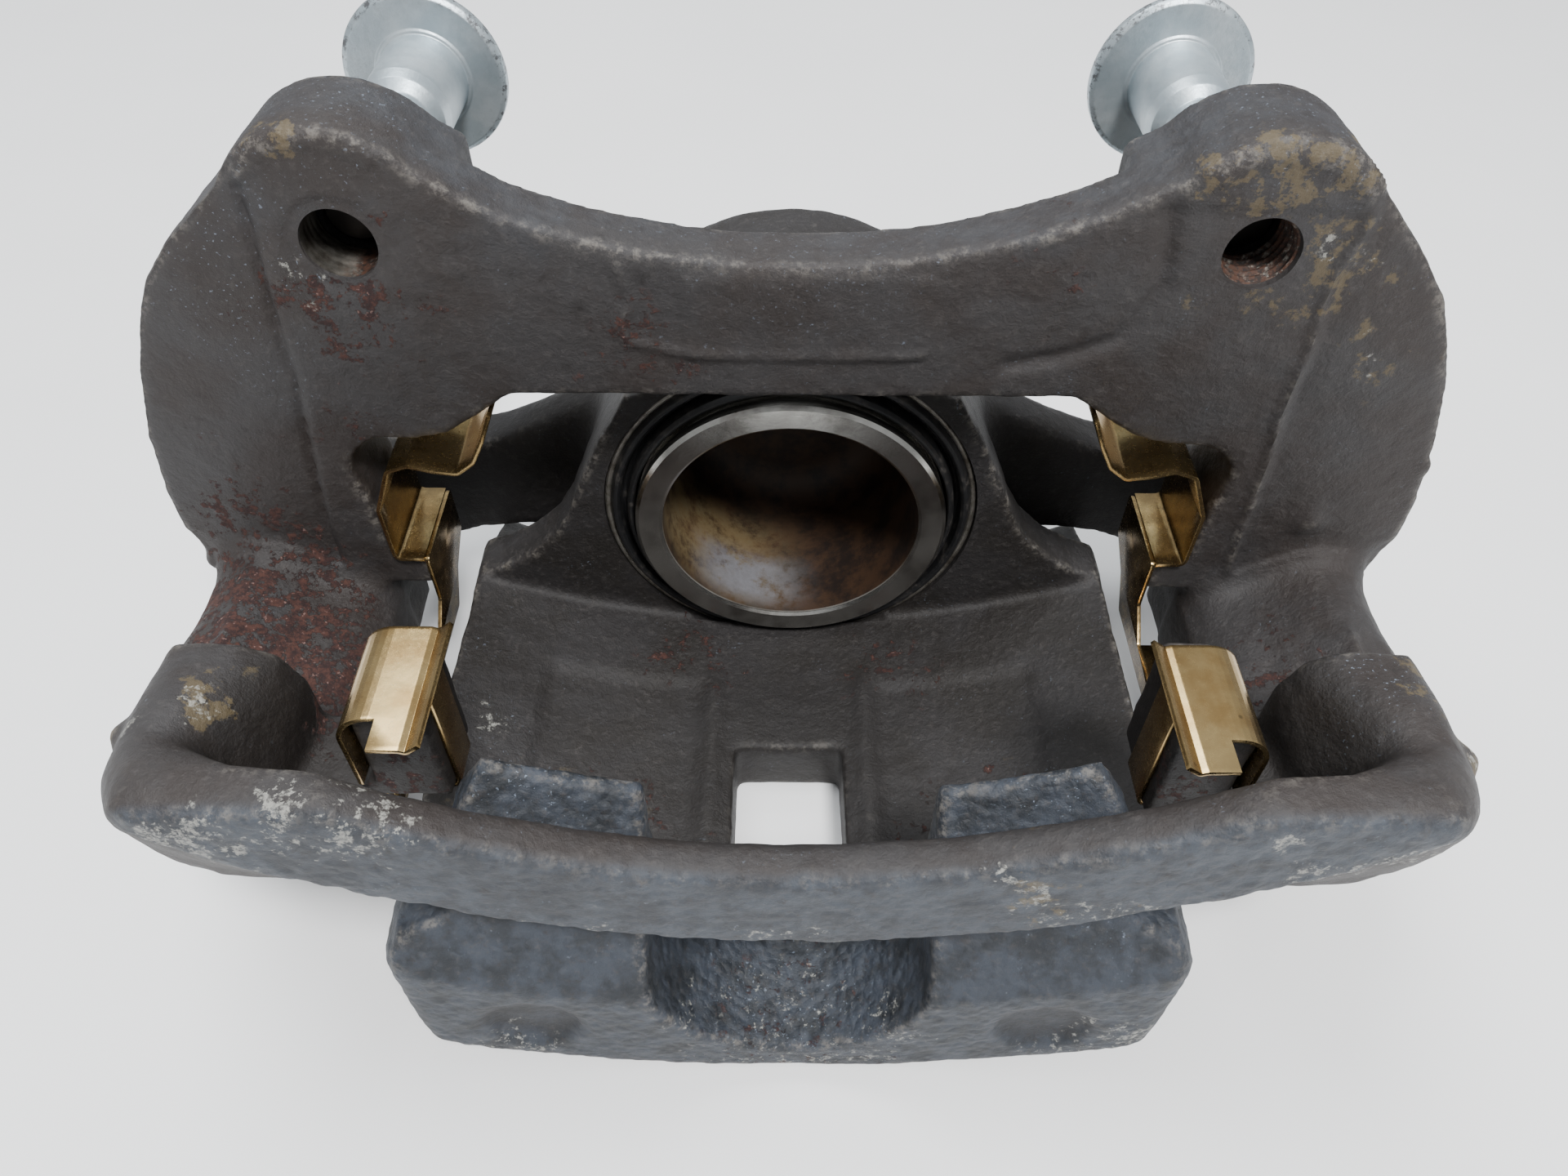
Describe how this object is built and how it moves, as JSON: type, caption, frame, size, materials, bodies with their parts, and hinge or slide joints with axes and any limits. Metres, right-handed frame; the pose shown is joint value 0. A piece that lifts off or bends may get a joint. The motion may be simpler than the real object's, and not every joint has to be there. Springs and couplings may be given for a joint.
{
  "type": "brake caliper",
  "caption": "Single-piston floating disc brake caliper with its cast bracket, spring clips and mounting bolts, worn and lightly rusted.",
  "frame": {"origin": "on the piston axis, in the plane of the piston's rim", "axes": "+X along the disc's edge, +Y inboard towards the knuckle, +Z towards the wheel's centre"},
  "size_m": [0.2236, 0.163, 0.1275],
  "materials": {
    "carrier_iron": "rough",
    "housing_iron": "rough",
    "clip_steel": "satin",
    "zinc_bolt": "satin",
    "piston_steel": "satin",
    "pin_steel": "satin",
    "boot_rubber": "matte",
    "seal_rubber": "satin"
  },
  "bodies": {
    "carrier": {"bracket": "carrier_iron", "pad_clip_left": "clip_steel", "pad_clip_right": "clip_steel", "mounting_bolt_left": "zinc_bolt", "mounting_bolt_right": "zinc_bolt", "pin_boot_left": "boot_rubber", "pin_boot_right": "boot_rubber"},
    "caliper": {"housing": "housing_iron", "piston_seal": "seal_rubber", "dust_boot": "boot_rubber", "boot_set_ring": "pin_steel", "guide_pin_left": "pin_steel", "guide_pin_right": "pin_steel", "pin_damper_bush": "seal_rubber", "pin_bolt_left": "zinc_bolt", "pin_bolt_right": "zinc_bolt"},
    "piston": {"piston": "piston_steel"},
    "bleeder": {"bleed_screw": "pin_steel"},
    "cap": {"bleed_cap": "boot_rubber"}
  },
  "joints": [
    {"name": "caliper_slide", "type": "slide", "parent": "carrier", "child": "caliper", "axis": [0, 1, 0], "range_m": [-0.003, 0.01], "deforming": ["pin_boot_left", "pin_boot_right"]},
    {"name": "piston_slide", "type": "slide", "parent": "caliper", "child": "piston", "axis": [0, 1, 0], "range_m": [-0.028, 0.001], "deforming": ["dust_boot"]},
    {"name": "bleed_turn", "type": "hinge", "parent": "caliper", "child": "bleeder", "pos_m": [0.021, 0.055, -0.012], "axis": [0, 1, 0], "range_deg": [0, 180]},
    {"name": "cap_pull", "type": "slide", "parent": "bleeder", "child": "cap", "axis": [0, 1, 0], "range_m": [0, 0.014]}
  ]
}
